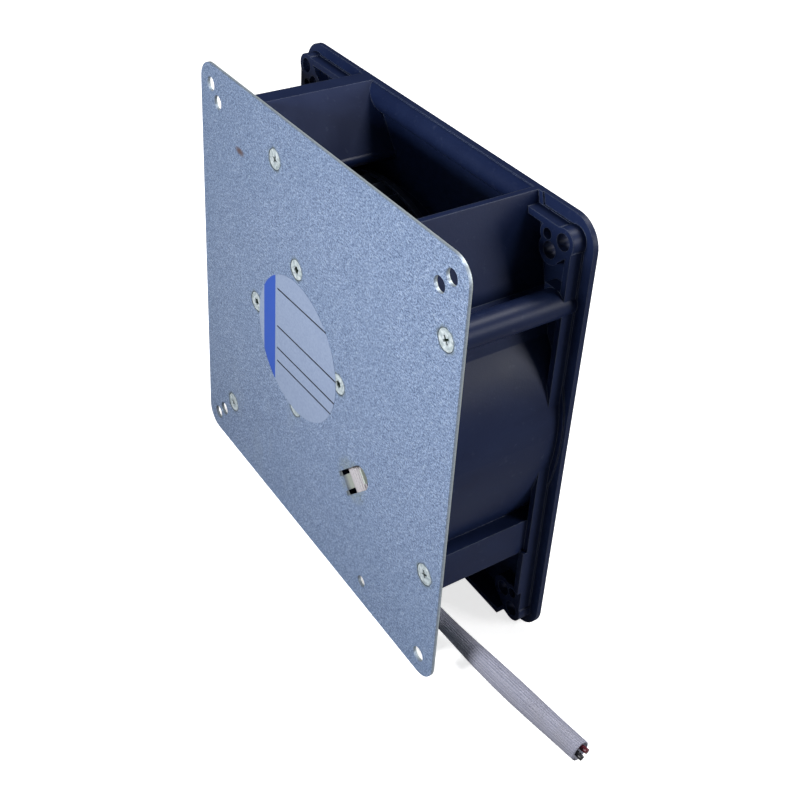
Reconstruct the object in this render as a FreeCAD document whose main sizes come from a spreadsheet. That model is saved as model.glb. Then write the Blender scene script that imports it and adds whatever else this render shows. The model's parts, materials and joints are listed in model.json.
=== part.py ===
import FreeCAD, Part
import math
import os
import re
import Sketcher

# Compact centrifugal blower on a square plate, millimetres.
# Every piece is drawn in the plate's own axes: X to the right, Y from the plate's front face
# towards the inlet side, Z up, from the middle of the plate. place() then stands it on Z = 0.

os.makedirs("parts", exist_ok=True)
doc = FreeCAD.newDocument("Blower")

# Driving dimensions. The words before each group say what they size.
SIZES = {
    # Whole blower
    "side": 135.0, "deep": 38.0,
    # Base plate and its openings. "in" and "end" are distances from the nearest edges
    "plate_thick": 1.0, "plate_corner": 6.5,
    "mount_hole": 4.5, "outer_hole_in": 6.5, "inner_hole_in": 10.85,
    "vent_in": 36.0, "vent_end": 7.8, "vent_hole": 3.6,
    # Cable lug lanced out of the plate, in axes turned to lie along the cable
    "lug_wide": 4.4, "lug_thick": 0.8, "lug_clear": 0.05, "lug_tip": 2.6,
    "slot_at": 36.2, "slot_wide": 7.3, "slot_low": -8.3, "slot_high": 7.9,
    # Screws that hold the housing, and where they go in
    "head_wide": 6.1, "head_deep": 1.7, "cone_clear": 0.06, "screw_shank": 2.9, "screw_long": 13.0,
    "pilot": 3.0,
    "post_tl_in": 45.7, "post_tl_end": 13.9, "post_tr_in": 6.7, "post_tr_end": 23.8,
    "post_bl_in": 17.8, "post_bl_end": 18.3, "post_br_in": 6.9, "post_br_end": 36.2,
    # Motor axis and the screws round it
    "motor_x": -8.8, "motor_z": 0.8, "motor_pcd": 48.0, "motor_turn": 0.4,
    "motor_shank": 2.9, "motor_bore": 3.0, "motor_screw_long": 4.8,
    # Label
    "label_x": -8.4, "label_z": -1.8, "label_wide": 44.8, "label_thick": 0.1,
    # Flange of the housing
    "flange_corner": 8.0, "rim_thick": 1.5, "step_thick": 0.5, "step_inset": 3.2, "step_run": 1.6,
    "rib_tall": 4.1, "rib_inset": 3.3, "rib_thick": 1.8,
    # Deeper parts of the rib beside the lower right ear
    "skirt_tall": 5.4, "skirt_from": 15.5, "skirt_to": 31.0,
    "foot_skirt_tall": 6.6, "foot_skirt_from": 9.5, "foot_skirt_to": 29.0,
    # Scroll: how far its four tangent arcs stay inside the square, and the last one's radius
    "scroll_x": -10.7, "scroll_z": -1.7, "wall": 1.7,
    "left_gap": 4.8, "foot_gap": 4.8, "right_gap": 2.3, "radius_d": 45.0,
    # Outlet: its left wall's two faces, and its right wall at the top and at the foot
    "outlet_left": -35.0, "outlet_mouth": -29.4, "outlet_right": 46.3, "outlet_foot": 56.5,
    "tongue_x": -16.5, "tongue_radius": 1.6, "floor_thick": 2.0,
    "lip_radius": 4.2, "lip_tall": 2.3, "lip_down": 4.1,
    # Inlet nozzle
    "throat": 76.0, "mouth_radius": 5.0, "nozzle_wall": 2.2, "nozzle_deep": 6.2,
    # Posts and ears
    "post_radius": 4.0, "web_thick": 1.8, "box_wide": 11.6, "box_in": 4.9,
    "ear_outer": 3.7, "ear_inner": 3.9, "third_hole": 3.0, "third_boss": 2.7, "third_out": -0.5,
    "third_in": 1.4,
    # Impeller
    "wheel_wide": 90.0, "blade_wide": 18.0, "blade_gap": 1.8, "blade_thick": 0.9, "blades": 38,
    "blade_root": 37.2, "blade_inset": 0.45, "blade_middle": 41.4, "blade_dip": 0.9, "blade_rise": 4.6,
    "disc_thick": 1.4, "hub_wall": 1.4, "hub_slope": 2.0, "hub_lap": 4.0,
    "hoop_tall": 1.6, "hoop_wall": 1.0,
    # Rotor
    "shaft_wide": 4.0, "shaft_from": 2.2, "shaft_to": 28.2, "running": 0.05,
    "cup_wide": 50.0, "cup_wall": 1.0, "cup_from": 8.0, "cup_to": 26.0, "cup_corner": 2.0,
    "magnet_wall": 2.4, "magnet_from": 9.0, "magnet_to": 21.0,
    "bush_wide": 10.0, "bush_from": 23.6, "bush_to": 27.6, "bush_step": 1.2, "chamfer": 0.3,
    "ring_wide": 6.6, "ring_thick": 0.6, "groove_deep": 0.4,
    # Motor flange, bearings and their tube
    "mflange_wide": 56.0, "mflange_thick": 1.8, "mboss_wide": 7.2, "mboss_tall": 1.6,
    "mhub_wide": 21.0, "mhub_tall": 2.2,
    "tube_wide": 16.0, "tube_wall": 1.5, "tube_from": 1.4, "tube_to": 22.6, "neck_step": 1.0,
    "bearing_thick": 5.0, "race": 1.3, "shield_deep": 0.3,
    "front_bearing_at": 4.2, "rear_bearing_at": 17.4,
    "spring_wide": 6.0, "spring_thick": 0.5,
    # Stator
    "air_gap": 0.6, "core_from": 10.6, "core_thick": 8.0, "core_ring": 3.5, "tooth": 6.0,
    "shoe": 2.0, "shoe_gap": 3.0, "insulator": 0.7, "ring_lap": 0.4, "winding": 2.6, "coil_gap": 0.2,
    "coil_clear": 0.05, "coil_in": 12.4, "coil_out": 18.2, "poles": 4,
    # Circuit board and what is on it
    "board_from": 5.6, "board_thick": 1.2, "board_wide": 45.0, "board_bore": 17.4,
    "chip_side": 5.0, "chip_tall": 1.6, "chip_x": -13.0, "chip_z": 6.5,
    "sensor_wide": 4.0, "sensor_long": 3.0, "sensor_tall": 1.8, "sensor_z": 20.1,
    "tank_wide": 3.6, "tank_long": 6.6, "tank_tall": 1.6, "tank_x": 12.4, "tank_z": 6.3,
    # Cable
    "sleeve_wide": 6.0, "cable_across": -3.6, "cable_deep": 4.2, "lead_wide": 1.5, "lead_apart": 1.7,
    "lead_show": 3.0, "lead_inside": 9.0, "gate_clear": 0.6, "gate_at": 62.0, "gate_long": 5.1,
}

sheet = doc.addObject("Spreadsheet::Sheet", "Sizes")
for row, (alias, size) in enumerate(SIZES.items(), start=1):
    sheet.set(f"A{row}", alias)
    sheet.set(f"B{row}", str(size))
    sheet.setAlias(f"B{row}", alias)
doc.recompute()

# Worked-out places, as expressions of the sheet
STEP_Y = "(deep - rim_thick - step_thick)"
RIM_Y = "(deep - rim_thick)"
RIB_Y = f"({STEP_Y} - rib_tall + step_thick)"
FLOOR_Y = "(deep - floor_thick)"
NOZZLE_Y = "(deep - nozzle_deep)"
HALF = "(side / 2)"
RIB_HALF = "(side / 2 - rib_inset)"
STEP_HALF = "(side / 2 - step_inset)"
OUTER = "(side / 2 - outer_hole_in)"
INNER = "(side / 2 - inner_hole_in)"
RADIUS_A = "(side / 2 - left_gap + scroll_x)"
RADIUS_B = "(side / 2 - foot_gap + scroll_z)"
RADIUS_C = f"(side / 2 - right_gap - scroll_x - {RADIUS_B} + {RADIUS_A})"
B_X = f"(scroll_x + {RADIUS_B} - {RADIUS_A})"
C_Z = f"(scroll_z + {RADIUS_C} - {RADIUS_B})"
D_X = f"({B_X} + {RADIUS_C} - radius_d)"
FOOT_Z = f"({C_Z} + sqrt(radius_d ^ 2 - (outlet_foot - {D_X}) ^ 2))"
POST_TR = (f"({HALF} - post_tr_in)", f"({HALF} - post_tr_end)")
POST_BR = (f"({HALF} - post_br_in)", f"(post_br_end - {HALF})")
POST_TL = (f"(post_tl_in - {HALF})", f"({HALF} - post_tl_end)")
POST_BL = (f"(post_bl_in - {HALF})", f"(post_bl_end - {HALF})")
POSTS = [POST_TL, POST_TR, POST_BL, POST_BR]
BLADE_FROM = f"({NOZZLE_Y} - blade_gap - blade_wide)"
BLADE_TO = f"({NOZZLE_Y} - blade_gap)"
DISC_FROM = f"({BLADE_FROM} - disc_thick)"
MAGNET_BORE = "(cup_wide / 2 - cup_wall - magnet_wall)"
CORE_R = f"({MAGNET_BORE} - air_gap)"
CORE_TO = "(core_from + core_thick)"
BOARD_TO = "(board_from + board_thick)"
MFLANGE_TO = "(plate_thick + mflange_thick)"
LUG_ROOT = "(cable_across - sleeve_wide / 2 - lug_clear - lug_thick + 0.1)"
SEAT = "(tube_wide / 2 - tube_wall)"
CONE_TAPER = -45


def bound(text):
    """The expression with each size pointing at its cell."""
    return re.sub(r"[a-z_]{3,}", lambda m: f"Sizes.{m[0]}" if m[0] in SIZES else m[0], str(text))


def number(text):
    """What the expression comes to now."""
    return float(sheet.evalExpression(bound(text)))


def place(piece, x="0", y="0", z="0"):
    """Moves a piece from its own axes to its place in the standing blower."""
    piece.setExpression("Placement.Base.x", bound(x))
    piece.setExpression("Placement.Base.y", bound(f"{y} - deep / 2"))
    piece.setExpression("Placement.Base.z", bound(f"{z} + side / 2"))


def on_motor(piece, y="0"):
    place(piece, "motor_x", y, "motor_z")


def body(name):
    piece = doc.addObject("PartDesign::Body", name)
    piece.Label = name
    piece.AllowCompound = True
    return piece


class Outline:
    """A sketch on one of a body's own planes, whose every size is bound to the sheet."""

    def __init__(self, piece, name, depth="0", plane="XZ_Plane"):
        self.sketch = piece.newObject("Sketcher::SketchObject", name)
        self.plane = plane
        role = [f for f in piece.Origin.OriginFeatures if f.Role == plane]
        self.sketch.AttachmentSupport = [(role[0], "")]
        self.sketch.MapMode = "FlatFace"
        side = "-" if plane == "XZ_Plane" else ""
        self.sketch.setExpression("AttachmentOffset.Base.z", bound(f"{side}({depth})"))

    def fix(self, kind, *where, size):
        index = self.sketch.addConstraint(Sketcher.Constraint(kind, *where, number(size)))
        self.sketch.setExpression(f"Constraints[{index}]", bound(size))

    def at(self, shape, point, x, y):
        self.fix("DistanceX", -1, 1, shape, point, size=x)
        self.fix("DistanceY", -1, 1, shape, point, size=y)

    def circle(self, radius, x="0", y="0"):
        middle = FreeCAD.Vector(number(x), number(y), 0)
        shape = self.sketch.addGeometry(Part.Circle(middle, FreeCAD.Vector(0, 0, 1), number(radius)))
        self.fix("Radius", shape, size=radius)
        self.at(shape, 3, x, y)
        return self

    def loop(self, corners):
        """A closed outline. A corner is (x, y), or (x, y, radius, turn) for an arc from the corner
        before it, where turn is 1 for anticlockwise and -1 for clockwise."""
        points = [FreeCAD.Vector(number(c[0]), number(c[1]), 0) for c in corners]
        shapes, ends = [], []
        for index, corner in enumerate(corners):
            start, end = points[index - 1], points[index]
            if len(corner) == 2:
                shapes.append(self.sketch.addGeometry(Part.LineSegment(start, end)))
                ends.append((1, 2))
                continue
            radius, turn = number(corner[2]), corner[3]
            chord = end - start
            rise = math.sqrt(max(radius ** 2 - (chord.Length / 2) ** 2, 0))
            side = FreeCAD.Vector(-chord.y, chord.x, 0).normalize()
            centre = (start + end) * 0.5 + side * rise * turn
            first, last = (start, end) if turn > 0 else (end, start)
            angles = [math.atan2((p - centre).y, (p - centre).x) for p in (first, last)]
            ring = Part.Circle(centre, FreeCAD.Vector(0, 0, 1), radius)
            shapes.append(self.sketch.addGeometry(Part.ArcOfCircle(ring, *angles)))
            ends.append((1, 2) if turn > 0 else (2, 1))
        for index, corner in enumerate(corners):
            after = (index + 1) % len(corners)
            here, there = (shapes[index], ends[index][1]), (shapes[after], ends[after][0])
            self.sketch.addConstraint(Sketcher.Constraint("Coincident", *here, *there))
            self.at(*here, corner[0], corner[1])
            if len(corner) > 2:
                self.fix("Radius", shapes[index], size=corner[2])
        return self

    def box(self, x0, y0, x1, y1):
        return self.loop([(x0, y0), (x1, y0), (x1, y1), (x0, y1)])

    def rounded(self, half, corner):
        """A square about the origin with round corners."""
        flat = f"({half} - ({corner}))"
        return self.loop([
            (flat, f"-{half}"), (half, f"-{flat}", corner, 1),
            (half, flat), (flat, half, corner, 1),
            (f"-{flat}", half), (f"-{half}", flat, corner, 1),
            (f"-{half}", f"-{flat}"), (f"-{flat}", f"-{half}", corner, 1),
        ])

    def bar(self, x, y, half_long, half_wide, degrees):
        """A rectangle about (x, y), turned."""
        c, s = f"cos({degrees} * 1 deg)", f"sin({degrees} * 1 deg)"
        ends = [(1, -1), (1, 1), (-1, 1), (-1, -1)]
        return self.loop([
            (f"{x} + {u} * ({half_long}) * {c} - {v} * ({half_wide}) * {s}",
             f"{y} + {u} * ({half_long}) * {s} + {v} * ({half_wide}) * {c}") for u, v in ends])


def pad(piece, outline, long):
    """Adds material from the outline, away from the plate (or along the plane's normal)."""
    return sweep(piece, "PartDesign::Pad", outline, long, 1)


def cut(piece, outline, long, taper=0):
    """Takes material away from the outline, away from the plate."""
    return sweep(piece, "PartDesign::Pocket", outline, long, -1, taper)


def sweep(piece, kind, outline, long, sign, taper=0):
    before = 0 if piece.Shape.isNull() else piece.Shape.Volume
    feature = piece.newObject(kind, f"{outline.sketch.Name}_solid")
    feature.Profile = outline.sketch
    feature.setExpression("Length", bound(long))
    across = outline.plane == "YZ_Plane"
    feature.Reversed = across if kind == "PartDesign::Pocket" else not across
    feature.TaperAngle = taper
    piece.Tip = feature
    doc.recompute()
    change = piece.Shape.Volume - before
    if change * sign <= 0:
        raise RuntimeError(f"{feature.Name} changed nothing, {feature.State}")
    return feature


def turned(piece, outline, kind="PartDesign::Revolution"):
    """Turns an outline drawn on XY, radius by depth, about the Y axis."""
    feature = piece.newObject(kind, f"{outline.sketch.Name}_solid")
    feature.Profile = outline.sketch
    feature.ReferenceAxis = (outline.sketch, ["V_Axis"])
    feature.Angle = 360
    piece.Tip = feature
    doc.recompute()
    return feature


def round_piece(name, corners):
    """A body turned from one outline of (radius, depth) corners."""
    piece = body(name)
    turned(piece, Outline(piece, f"{name}_profile", plane="XY_Plane").loop(corners))
    return piece


def around(piece, feature, outline, count):
    """Repeats a feature round the body's Y axis."""
    pattern = piece.newObject("PartDesign::PolarPattern", f"{feature.Name}_ring")
    pattern.Originals = [feature]
    pattern.Axis = (outline.sketch, ["N_Axis"])
    pattern.Angle = 360
    pattern.setExpression("Occurrences", bound(count))
    piece.Tip = pattern
    doc.recompute()
    return pattern


def tube_corners(inner, outer, low, high):
    return [(inner, low), (outer, low), (outer, high), (inner, high)]


def corner_signs():
    return [("-", ""), ("", ""), ("-", "-"), ("", "-")]


def motor_places():
    """Centres of the four motor screws, from the middle of the plate."""
    turns = [f"(motor_turn + 90 * {k}) * 1 deg" for k in range(4)]
    return [(f"motor_x + motor_pcd / 2 * cos({t})", f"motor_z + motor_pcd / 2 * sin({t})") for t in turns]


def along(u, v):
    """A point given along the cable (u) and across it (v), where the cable lies at 45 degrees."""
    return (f"(({u}) + ({v})) / sqrt(2)", f"(({v}) - ({u})) / sqrt(2)")


def base_plate():
    plate = body("base_plate")
    pad(plate, Outline(plate, "blank").rounded(HALF, "plate_corner"), "plate_thick")
    holes = Outline(plate, "mounting_holes")
    for sx, sz in corner_signs():
        holes.circle("mount_hole / 2", f"{sx}{OUTER}", f"{sz}{OUTER}")
    for sx, sz in corner_signs()[:3]:
        holes.circle("mount_hole / 2", f"{sx}{INNER}", f"{sz}{INNER}")
    holes.circle("vent_hole / 2", f"{HALF} - vent_in", f"vent_end - {HALF}")
    cut(plate, holes, "plate_thick")
    cones = Outline(plate, "screw_cones")
    for x, z in POSTS + motor_places():
        cones.circle("head_wide / 2 + cone_clear", x, z)
    cut(plate, cones, "plate_thick", CONE_TAPER)
    half, ends = "(slot_wide / 2)", "(lug_wide / 2)"
    shoulder = "(slot_high - slot_wide / 2)"
    cut(plate, Outline(plate, "lug_slot").loop([
        along(f"slot_at - {half}", "slot_low"), along(f"slot_at - {ends}", "slot_low"),
        along(f"slot_at - {ends}", LUG_ROOT), along(f"slot_at + {ends}", LUG_ROOT),
        along(f"slot_at + {ends}", "slot_low"), along(f"slot_at + {half}", "slot_low"),
        along(f"slot_at + {half}", shoulder), (*along("slot_at", "slot_high"), half, 1),
        (*along(f"slot_at - {half}", shoulder), half, 1),
    ]), "plate_thick")
    cable_lug(plate)
    place(plate)
    return plate


def cable_lug(plate):
    """The tongue left by the slot, curled round the cable like a hook."""
    inner, outer = "(sleeve_wide / 2 + lug_clear)", "(sleeve_wide / 2 + lug_clear + lug_thick)"
    lug = Outline(plate, "lug_profile", plane="XY_Plane")
    turn = FreeCAD.Rotation(FreeCAD.Vector(0, 1, 0), -45)
    lug.sketch.AttachmentOffset = FreeCAD.Placement(FreeCAD.Vector(), turn)
    lug.sketch.setExpression("AttachmentOffset.Base.x", bound("(slot_at - lug_wide / 2) / sqrt(2)"))
    lug.sketch.setExpression("AttachmentOffset.Base.z", bound("-(slot_at - lug_wide / 2) / sqrt(2)"))
    mid, low = "cable_across", "cable_deep"
    lug.loop([
        (f"{mid} - {outer}", "0"), (f"{mid} - {inner}", "0"), (f"{mid} - {inner}", low),
        (mid, f"{low} + {inner}", inner, -1), (f"{mid} + {inner}", low, inner, -1),
        (f"{mid} + {inner}", "lug_tip"), (f"{mid} + {outer}", "lug_tip"), (f"{mid} + {outer}", low),
        (mid, f"{low} + {outer}", outer, 1), (f"{mid} - {outer}", low, outer, 1),
    ])
    pad(plate, lug, "lug_wide")


def scroll_outline(piece, name, depth, inset, top, start):
    """The four arcs of the scroll, inset from its outside, and its outlet's straight walls."""
    a, b, c, d = (f"({radius} - {inset})" for radius in (RADIUS_A, RADIUS_B, RADIUS_C, "radius_d"))
    foot = f"(outlet_foot - {inset})"
    return Outline(piece, name, depth).loop(top + [
        start,
        (f"scroll_x - {a}", "scroll_z", a, 1),
        (B_X, f"scroll_z - {b}", b, 1),
        (f"{B_X} + {c}", C_Z, c, 1),
        (foot, f"({C_Z} + sqrt({d} ^ 2 - ({foot} - {D_X}) ^ 2))", d, 1),
    ])


def outer_scroll(piece, name, depth, grow="0"):
    left = f"(outlet_left - {grow})"
    meet = f"scroll_z + sqrt(({RADIUS_A} + {grow}) ^ 2 - ({left} - scroll_x) ^ 2)"
    top = [(f"(outlet_right + {grow})", HALF), (left, HALF)]
    return scroll_outline(piece, name, depth, f"(0 - {grow})", top, (left, meet))


def air_space(piece, name, depth):
    """The room for the air, with the tongue's nose at the end of the sloping outlet wall."""
    right = "(outlet_right - wall)"
    meet = f"(scroll_z + sqrt(({RADIUS_A} - wall) ^ 2 - (tongue_x - scroll_x) ^ 2))"
    top = [(right, HALF), (right, f"{HALF} + wall"), ("outlet_mouth", f"{HALF} + wall"),
           ("outlet_mouth", HALF), ("tongue_x", f"{meet} + 2 * tongue_radius")]
    nose = ("tongue_x", meet, "tongue_radius * 1.1", -1)
    return scroll_outline(piece, name, depth, "wall", top, nose)


def housing():
    shell = body("housing")
    pad(shell, Outline(shell, "rim", RIM_Y).rounded(HALF, "flange_corner"), "rim_thick")
    step = Outline(shell, "step", STEP_Y).rounded(STEP_HALF, "flange_corner - step_inset")
    pad(shell, step, "step_thick")
    pad(shell, outer_scroll(shell, "scroll_step", STEP_Y, "step_run"), "step_thick")
    ribs = Outline(shell, "ribs", RIB_Y).rounded(RIB_HALF, "flange_corner - rib_inset")
    inner = "flange_corner - rib_inset - rib_thick"
    ribs.rounded(f"({RIB_HALF} - rib_thick)", inner)
    pad(shell, ribs, "rib_tall")
    pad(shell, outer_scroll(shell, "scroll", "plate_thick"), f"{RIM_Y} - plate_thick")
    add_posts(shell)
    add_skirts(shell)
    add_ears(shell)
    cut(shell, air_space(shell, "air", "plate_thick"), f"{FLOOR_Y} - plate_thick")
    inlet_nozzle(shell)
    outlet_lip(shell)
    drill(shell)
    place(shell)
    return shell


def add_posts(shell):
    """What the four screws go into, outside the scroll."""
    tall = f"{RIM_Y} - plate_thick"
    x, z = POST_TR
    pad(shell, Outline(shell, "upper_column", "plate_thick").circle("post_radius", x, z), tall)
    web = Outline(shell, "column_web", "plate_thick")
    run = f"({HALF} - {z}) / ({HALF} - {FOOT_Z})"
    web.box(f"outlet_right + (outlet_foot - outlet_right) * {run} - wall / 2", f"{z} - web_thick", x, z)
    pad(shell, web, tall)
    foot = Outline(shell, "column_foot", RIB_Y)
    foot.box(f"{x} - post_radius", f"{z} - post_radius", RIB_HALF, f"{z} + post_radius")
    pad(shell, foot, "rib_tall")
    box = Outline(shell, "side_box", "plate_thick")
    x, z = POST_BR
    side = f"({HALF} - box_in)"
    box.box(f"{side} - box_wide - post_radius", f"{z} - box_wide / 2", side, f"{z} + box_wide / 2")
    pad(shell, box, tall)
    x, z = POST_BL
    pad(shell, Outline(shell, "lower_column", "plate_thick").circle("post_radius", x, z), tall)
    tie = Outline(shell, "lower_web", "plate_thick")
    tie.bar(f"{x} + post_radius", f"{z} + post_radius", "post_radius", "web_thick / 2", 45)
    pad(shell, tie, tall)


def add_skirts(shell):
    """The rib's deeper stretches on the right side and the foot."""
    side = Outline(shell, "side_skirt", f"{RIM_Y} - skirt_tall")
    side.box(f"{RIB_HALF} - rib_thick", f"skirt_from - {HALF}", RIB_HALF, f"skirt_to - {HALF}")
    pad(shell, side, "skirt_tall")
    foot = Outline(shell, "foot_skirt", f"{RIM_Y} - foot_skirt_tall")
    foot.box(f"{HALF} - foot_skirt_to", f"-{RIB_HALF}",
             f"{HALF} - foot_skirt_from", f"rib_thick - {RIB_HALF}")
    pad(shell, foot, "foot_skirt_tall")


def add_ears(shell):
    """Corner ears of the flange: two bosses, the bar between them and one for the third hole."""
    rings = Outline(shell, "outer_bosses", RIB_Y)
    for sx, sz in corner_signs():
        rings.circle("ear_outer", f"{sx}{OUTER}", f"{sz}{OUTER}")
    pad(shell, rings, "rib_tall")
    rings = Outline(shell, "inner_bosses", RIB_Y)
    for sx, sz in corner_signs():
        rings.circle("ear_inner", f"{sx}{INNER}", f"{sz}{INNER}")
    pad(shell, rings, "rib_tall")
    middle = f"({OUTER} + {INNER}) / 2"
    bars = Outline(shell, "boss_bars", RIB_Y)
    for (sx, sz), turn in zip(corner_signs(), (135, 45, 45, 135)):
        bars.bar(f"{sx}{middle}", f"{sz}{middle}", f"{OUTER} - {INNER}", "ear_outer", turn)
    pad(shell, bars, "rib_tall")
    thirds = Outline(shell, "third_bosses", RIB_Y)
    for x, z in third_holes():
        thirds.circle("third_boss", x, z)
    pad(shell, thirds, "rib_tall")


def third_holes():
    """The small hole beside each pair of mounting holes."""
    far, near = f"{OUTER} + third_out", f"{INNER} - third_in"
    return [(f"-({far})", near), (near, far), (f"-({near})", f"-({far})"), (far, f"-({near})")]


def inlet_nozzle(shell):
    """The ring about the motor's axis that guides the air in, with its bell mouth turned out."""
    ring = Outline(shell, "nozzle_ring", NOZZLE_Y)
    pad(shell, ring.circle("throat / 2 + nozzle_wall", "motor_x", "motor_z"), f"{FLOOR_Y} - {NOZZLE_Y}")
    hole = Outline(shell, "throat_hole", NOZZLE_Y).circle("throat / 2", "motor_x", "motor_z")
    cut(shell, hole, "nozzle_deep")
    bell = Outline(shell, "bell_mouth", "motor_z", plane="XY_Plane")
    throat, mouth = "(motor_x + throat / 2)", "(motor_x + throat / 2 + mouth_radius)"
    bell.loop([
        (f"{throat} - 1", "deep - mouth_radius"), (throat, "deep - mouth_radius"),
        (mouth, "deep", "mouth_radius", -1), (f"{throat} - 1", "deep"),
    ])
    axis = bell.sketch.addGeometry(
        Part.LineSegment(FreeCAD.Vector(number("motor_x"), 0, 0),
                         FreeCAD.Vector(number("motor_x"), number("deep"), 0)), True)
    bell.at(axis, 1, "motor_x", "0")
    bell.at(axis, 2, "motor_x", "deep")
    groove = shell.newObject("PartDesign::Groove", "bell_cut")
    groove.Profile = bell.sketch
    groove.ReferenceAxis = (bell.sketch, ["Axis0"])
    groove.Angle = 360
    before = shell.Shape.Volume
    shell.Tip = groove
    doc.recompute()
    if shell.Shape.Volume >= before:
        raise RuntimeError("the bell mouth cut nothing")


def outlet_lip(shell):
    """The rounded bead across the outlet, along the flange's edge."""
    bead = Outline(shell, "lip_bead", "outlet_mouth - wall / 2", plane="YZ_Plane")
    half = "sqrt(lip_radius ^ 2 - (lip_radius - lip_tall) ^ 2)"
    low, high = f"{HALF} - lip_down - {half}", f"{HALF} - lip_down + {half}"
    bead.loop([
        (RIM_Y, high), (RIM_Y, low), (FLOOR_Y, low), (FLOOR_Y, high, "lip_radius", -1),
    ])
    pad(shell, bead, "outlet_right - outlet_mouth")


def drill(shell):
    """Mounting holes through the flange, pilot holes and seats for the screws, and the cable's way."""
    holes = Outline(shell, "flange_holes", RIB_Y)
    for sx, sz in corner_signs():
        for way in (OUTER, INNER):
            holes.circle("mount_hole / 2", f"{sx}{way}", f"{sz}{way}")
    for x, z in third_holes():
        holes.circle("third_hole / 2", x, z)
    cut(shell, holes, f"deep - {RIB_Y}")
    pilots = Outline(shell, "pilots", "plate_thick")
    cones = Outline(shell, "screw_seats", "plate_thick")
    for x, z in POSTS:
        pilots.circle("pilot / 2", x, z)
        cones.circle("head_wide / 2 + cone_clear - plate_thick", x, z)
    cut(shell, pilots, "screw_long")
    cut(shell, cones, "head_deep - plate_thick", CONE_TAPER)
    gate = Outline(shell, "cable_gate", "plate_thick")
    gate.bar(*along("gate_at", "cable_across"), "gate_long", "sleeve_wide / 2 + gate_clear", -45)
    cut(shell, gate, "cable_deep + sleeve_wide / 2 + gate_clear - plate_thick")


def screws(name, places, long, shank):
    """Countersunk screws, flush with the plate, as separate solids of one group."""
    turned_screw = body(f"{name}_one")
    cone = "(head_wide - " + shank + ") / 2"
    turned(turned_screw, Outline(turned_screw, f"{name}_profile", plane="XY_Plane").loop([
        ("0", "0"), ("head_wide / 2", "0"), (f"{shank} / 2", cone),
        (f"{shank} / 2", f"{long} - {shank} / 4"), ("0", long),
    ]))
    copies = [moved(turned_screw.Shape, number(x), 0, number(z)) for x, z in places]
    return group(name, copies)


def moved(shape, x, y, z):
    copy = shape.copy()
    copy.translate(FreeCAD.Vector(x, y, z))
    return copy


def group(name, solids):
    """Separate solids that share one name."""
    piece = doc.addObject("Part::Feature", name)
    piece.Label = name
    piece.Shape = Part.makeCompound(solids) if len(solids) > 1 else solids[0]
    place(piece)
    return piece


def label():
    disc = body("label")
    pad(disc, Outline(disc, "label_disc", "-label_thick").circle("label_wide / 2"), "label_thick")
    place(disc, "label_x", "0", "label_z")
    return disc


def impeller():
    wheel = body("impeller")
    hub, tip, outer = "(cup_wide / 2)", "(wheel_wide / 2)", "(cup_wide / 2 + hub_wall)"
    turned(wheel, Outline(wheel, "hub", plane="XY_Plane").loop([
        (hub, DISC_FROM), (tip, DISC_FROM), (tip, BLADE_FROM), (f"{outer} + hub_slope", BLADE_FROM),
        (outer, f"{BLADE_FROM} + hub_slope"), (outer, "cup_to - hub_slope"),
        (f"{outer} - hub_slope", "cup_to + hub_wall"), (f"{hub} - hub_lap", "cup_to + hub_wall"),
        (f"{hub} - hub_lap", "cup_to"), (hub, "cup_to"),
    ]))
    hoop = Outline(wheel, "hoop", plane="XY_Plane")
    hoop.loop(tube_corners(f"{tip} - hoop_wall", tip, f"{BLADE_TO} - hoop_tall", BLADE_TO))
    turned(wheel, hoop)
    blade = Outline(wheel, "blade", f"{BLADE_FROM} - disc_thick / 2")
    edge_x = f"({tip} - blade_inset)"
    blade.loop([
        ("blade_root", "0"), ("blade_middle", "blade_dip"), (edge_x, "blade_rise"),
        (f"{edge_x} - blade_thick", "blade_rise"),
        ("blade_middle - blade_thick / 2", "blade_dip + blade_thick"),
        ("blade_root", "blade_thick"),
    ])
    first = pad(wheel, blade, "blade_wide + disc_thick / 2")
    around(wheel, first, blade, "blades")
    on_motor(wheel)
    return wheel


def rotor_pieces():
    r, groove = "(shaft_wide / 2)", "(shaft_wide / 2 - groove_deep)"
    ring_to = "(front_bearing_at - 2 * running)"
    ring_from = f"({ring_to} - ring_thick)"
    shaft = round_piece("shaft", [
        ("0", "shaft_from"), (r, "shaft_from"), (r, ring_from), (groove, ring_from), (groove, ring_to),
        (r, ring_to), (r, "shaft_to - chamfer"), (f"{r} - chamfer", "shaft_to"), ("0", "shaft_to"),
    ])
    ring = round_piece("retaining_ring", tube_corners(groove, "ring_wide / 2", ring_from, ring_to))
    bush = "(bush_wide / 2)"
    hub = round_piece("rotor_bush", [
        (r, "bush_from"), (bush, "bush_from"), (bush, "cup_to - cup_wall"),
        (f"{bush} - bush_step", "cup_to - cup_wall"), (f"{bush} - bush_step", "bush_to"), (r, "bush_to"),
    ])
    outer, inner = "(cup_wide / 2)", "(cup_wide / 2 - cup_wall)"
    cup = round_piece("rotor_cup", [
        (inner, "cup_from"), (outer, "cup_from"), (outer, "cup_to - cup_corner"),
        (f"{outer} - cup_corner", "cup_to"), (f"{bush} - bush_step", "cup_to"),
        (f"{bush} - bush_step", "cup_to - cup_wall"), (f"{outer} - cup_corner", "cup_to - cup_wall"),
        (inner, "cup_to - cup_corner"),
    ])
    magnet = round_piece("magnet_ring", tube_corners(MAGNET_BORE, inner, "magnet_from", "magnet_to"))
    for piece in (shaft, ring, hub, cup, magnet):
        on_motor(piece)
    return [shaft, ring, hub, cup, magnet]


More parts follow.
